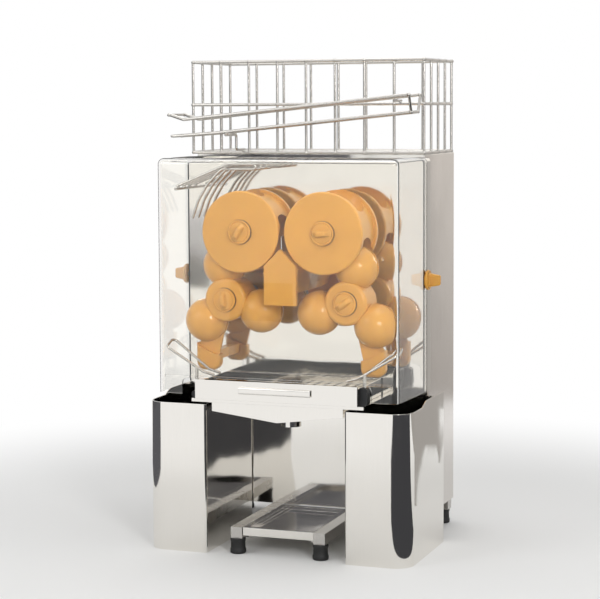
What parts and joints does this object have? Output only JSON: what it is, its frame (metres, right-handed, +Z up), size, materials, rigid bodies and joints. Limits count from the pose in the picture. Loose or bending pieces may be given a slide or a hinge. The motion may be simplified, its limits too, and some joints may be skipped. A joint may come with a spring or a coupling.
{
  "type": "citrus juicer",
  "caption": "Counter-top automatic citrus juicer: wire basket and ramp feed fruit to cup and ball drums behind a clear cover; juice drains to a spout, peel to side bins.",
  "frame": {"origin": "on the counter at the middle of the footprint", "axes": "+Z up, the front with the drawer and bins faces -Y, +X to the right seen from the front"},
  "size_m": [0.4306, 0.327, 0.735],
  "materials": {
    "frame_steel": "satin",
    "satin_steel": "satin brushed",
    "polished_steel": "mirror polished",
    "wire_steel": "polished",
    "knife_steel": "ground",
    "machined_steel": "machined",
    "aluminium_plate": "milled",
    "orange_plastic": "satin moulded",
    "clear_plastic": "clear",
    "black_rubber": "matt",
    "black_plastic": "matt",
    "grey_paint": "satin"
  },
  "bodies": {
    "machine": {"base_frame": "frame_steel", "rubber_feet": "black_rubber", "cabinet_floor": "satin_steel", "cabinet_shell": "satin_steel", "top_deck": "polished_steel", "lower_front_panel": "polished_steel", "chamber_pan": "polished_steel", "front_gear_plate": "aluminium_plate", "rear_gear_plate": "aluminium_plate", "gear_spacers": "machined_steel", "shaft_bearings": "machined_steel", "shaft_seals": "black_rubber", "gearmotor": "grey_paint", "knife_holder": "orange_plastic", "knife_blade": "knife_steel", "juice_trough": "polished_steel", "guide_blocks": "black_plastic", "cover_studs": "machined_steel", "feed_cradle": "wire_steel", "switch_bezel": "black_plastic", "power_inlet": "black_plastic", "control_box": "black_plastic", "interlock_switch": "black_plastic", "left_peel_ejector": "orange_plastic", "left_peel_guide": "wire_steel", "right_peel_ejector": "orange_plastic", "right_peel_guide": "wire_steel"},
    "right_cup": {"right_cup_drum": "orange_plastic", "right_cup_shaft": "machined_steel", "right_cup_gear": "machined_steel", "right_sync_gear": "machined_steel", "right_cup_nut": "orange_plastic"},
    "right_ball": {"right_ball_drum": "orange_plastic", "right_ball_shaft": "machined_steel", "right_ball_gear": "machined_steel", "right_ball_nut": "orange_plastic"},
    "right_knob": {"right_cover_knob": "orange_plastic"},
    "right_bin": {"right_peel_bin": "polished_steel"},
    "left_cup": {"left_cup_drum": "orange_plastic", "left_cup_shaft": "machined_steel", "left_cup_gear": "machined_steel", "left_sync_gear": "machined_steel", "left_cup_nut": "orange_plastic"},
    "left_ball": {"left_ball_drum": "orange_plastic", "left_ball_shaft": "machined_steel", "left_ball_gear": "machined_steel", "left_ball_nut": "orange_plastic"},
    "left_knob": {"left_cover_knob": "orange_plastic"},
    "left_bin": {"left_peel_bin": "polished_steel"},
    "pinion": {"motor_pinion": "machined_steel"},
    "cover": {"clear_cover": "clear_plastic"},
    "drawer": {"strainer_drawer": "polished_steel"},
    "tray": {"drip_tray": "polished_steel"},
    "basket": {"fruit_basket": "wire_steel"},
    "ramp": {"feed_ramp": "wire_steel"},
    "rocker": {"rocker_switch": "black_plastic"}
  },
  "joints": [
    {"name": "right_cup_spin", "type": "hinge", "parent": "machine", "child": "right_cup", "pos_m": [0.065, 0, 0.479], "axis": [0, -1, 0], "continuous": true},
    {"name": "left_cup_spin", "type": "hinge", "parent": "machine", "child": "left_cup", "pos_m": [-0.065, 0, 0.479], "axis": [0, -1, 0], "continuous": true},
    {"name": "right_ball_spin", "type": "hinge", "parent": "machine", "child": "right_ball", "pos_m": [0.095, 0, 0.37577], "axis": [0, -1, 0], "continuous": true},
    {"name": "left_ball_spin", "type": "hinge", "parent": "machine", "child": "left_ball", "pos_m": [-0.095, 0, 0.37577], "axis": [0, -1, 0], "continuous": true},
    {"name": "pinion_spin", "type": "hinge", "parent": "machine", "child": "pinion", "pos_m": [0.025, 0, 0.32252], "axis": [0, -1, 0], "continuous": true},
    {"name": "cover_off", "type": "slide", "parent": "machine", "child": "cover", "axis": [0, -1, 0], "range_m": [0, 0.16]},
    {"name": "right_bin_out", "type": "slide", "parent": "machine", "child": "right_bin", "axis": [0, -1, 0], "range_m": [0, 0.25]},
    {"name": "left_bin_out", "type": "slide", "parent": "machine", "child": "left_bin", "axis": [0, -1, 0], "range_m": [0, 0.25]},
    {"name": "drawer_out", "type": "slide", "parent": "machine", "child": "drawer", "axis": [0, -1, 0], "range_m": [0, 0.13]},
    {"name": "tray_out", "type": "slide", "parent": "machine", "child": "tray", "axis": [0, -1, 0], "range_m": [0, 0.18]},
    {"name": "basket_lift", "type": "slide", "parent": "machine", "child": "basket", "axis": [0, 0, 1], "range_m": [0, 0.15]},
    {"name": "ramp_lift", "type": "slide", "parent": "basket", "child": "ramp", "axis": [0, 0, 1], "range_m": [0, 0.05]},
    {"name": "right_knob_turn", "type": "hinge", "parent": "machine", "child": "right_knob", "pos_m": [0.198, -0.0305, 0.406], "axis": [1, 0, 0], "range_deg": [0, 360]},
    {"name": "left_knob_turn", "type": "hinge", "parent": "machine", "child": "left_knob", "pos_m": [-0.198, -0.0305, 0.406], "axis": [-1, 0, 0], "range_deg": [0, 360]},
    {"name": "rocker_tip", "type": "hinge", "parent": "machine", "child": "rocker", "pos_m": [-0.184, 0.03, 0.52], "axis": [0, -1, 0], "range_deg": [0, 16]}
  ],
  "couplings": [
    {"joint": "left_cup_spin", "follows": "right_cup_spin", "ratio": -1},
    {"joint": "right_ball_spin", "follows": "right_cup_spin", "ratio": -1},
    {"joint": "left_ball_spin", "follows": "right_cup_spin", "ratio": 1},
    {"joint": "pinion_spin", "follows": "right_cup_spin", "ratio": 1.5714}
  ]
}
